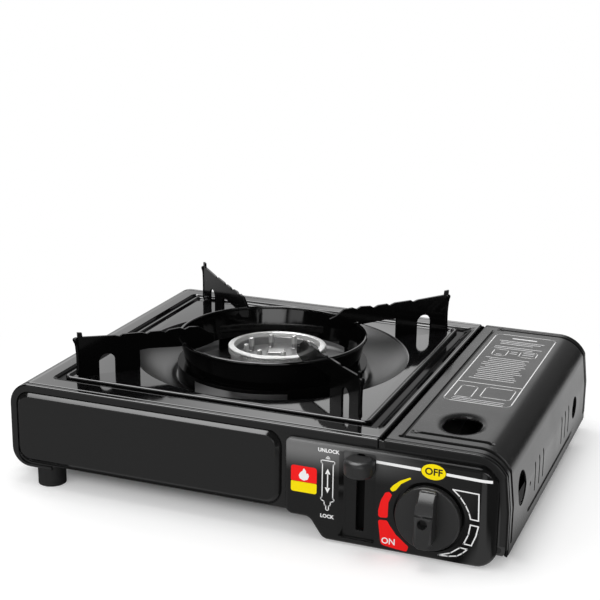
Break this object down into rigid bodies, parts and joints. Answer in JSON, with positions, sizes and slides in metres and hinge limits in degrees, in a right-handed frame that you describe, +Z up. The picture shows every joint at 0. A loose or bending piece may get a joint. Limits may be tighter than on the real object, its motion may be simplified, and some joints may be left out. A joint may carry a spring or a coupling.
{
  "type": "portable gas stove",
  "caption": "Flat tabletop stove for a butane cartridge: enamelled sheet case, lift-off pan support, ring burner, hinged side lid, turning knob and locking lever.",
  "frame": {"origin": "on the table, under the middle of the stove's overall box", "axes": "+X to the right along the front, +Y to the back, +Z up"},
  "size_m": [0.34, 0.271, 0.102],
  "materials": {
    "gloss_enamel": "gloss black enamel",
    "satin_enamel": "satin black enamel",
    "front_enamel": "satin black enamel",
    "panel_black": "gloss black with printed marks",
    "zinc": "bright zinc plated sheet",
    "steel": "plated fasteners",
    "cast_alu": "bright cast aluminium",
    "brass": "turned brass",
    "rubber": "matt black rubber",
    "knob_plastic": "satin black plastic",
    "igniter_plastic": "white plastic",
    "ceramic": "glazed white ceramic",
    "lead_red": "silicone lead"
  },
  "bodies": {
    "chassis": {"body_shell": "gloss_enamel", "front_panel": "front_enamel", "back_panel": "gloss_enamel", "base_pan": "gloss_enamel", "partition_wall": "zinc", "control_panel": "panel_black", "panel_screws": "steel", "body_screws": "steel", "rubber_feet": "rubber", "foot_screws": "steel", "low_pads": "rubber", "burner_bowl": "cast_alu", "burner_insert": "cast_alu", "burner_ring": "cast_alu", "burner_bracket": "zinc", "bracket_screws": "steel", "mixing_tube": "cast_alu", "electrode_clip": "zinc", "electrode_insulator": "ceramic", "electrode_pin": "steel", "igniter_lead": "lead_red", "piezo_igniter": "igniter_plastic", "igniter_bracket": "zinc", "igniter_spring": "steel", "regulator_body": "cast_alu", "regulator_diaphragm": "rubber", "regulator_cover": "cast_alu", "regulator_spring": "steel", "regulator_screws": "steel", "regulator_bracket": "zinc", "gas_jet": "brass", "socket_seal": "rubber", "lever_guide": "zinc", "carriage_guides": "zinc", "cradle_rails": "zinc", "rear_stop": "zinc"},
    "lid": {"container_lid": "satin_enamel", "lid_ears": "satin_enamel", "lid_hinge_pins": "steel"},
    "pan_support": {"drip_plate": "gloss_enamel", "wind_ring": "gloss_enamel", "pan_arm_front_left": "gloss_enamel", "pan_arm_front_right": "gloss_enamel", "pan_arm_back_left": "gloss_enamel", "pan_arm_back_right": "gloss_enamel"},
    "knob": {"control_knob": "knob_plastic", "valve_stem": "brass", "stem_clip": "steel", "igniter_cam": "igniter_plastic"},
    "lever": {"lock_lever": "knob_plastic", "lever_slide": "zinc", "lever_pin": "steel"},
    "carriage": {"cartridge_carriage": "zinc"},
    "plunger": {"igniter_plunger": "igniter_plastic"}
  },
  "joints": [
    {"name": "lid_hinge", "type": "hinge", "parent": "chassis", "child": "lid", "pos_m": [0.1645, 0.0095, 0.0125], "axis": [0, 1, 0], "range_deg": [0, 94]},
    {"name": "pan_support_lift", "type": "slide", "parent": "chassis", "child": "pan_support", "axis": [0, 0, 1], "range_m": [0, 0.06]},
    {"name": "knob_turn", "type": "hinge", "parent": "chassis", "child": "knob", "pos_m": [0.1224, -0.1205, 0.028], "axis": [0, -1, 0], "range_deg": [0, 130]},
    {"name": "lever_slide_down", "type": "slide", "parent": "chassis", "child": "lever", "axis": [0, 0, -1], "range_m": [0, 0.034]},
    {"name": "carriage_forward", "type": "slide", "parent": "chassis", "child": "carriage", "axis": [0, -1, 0], "range_m": [0, 0.005]},
    {"name": "igniter_press", "type": "slide", "parent": "chassis", "child": "plunger", "axis": [1, 0, 0], "range_m": [0, 0.004], "deforming": ["igniter_spring"]}
  ],
  "couplings": [
    {"joint": "carriage_forward", "follows": "lever_slide_down", "ratio": 0.14706},
    {"joint": "igniter_press", "follows": "knob_turn", "m_per_rad": 0.0017628}
  ]
}
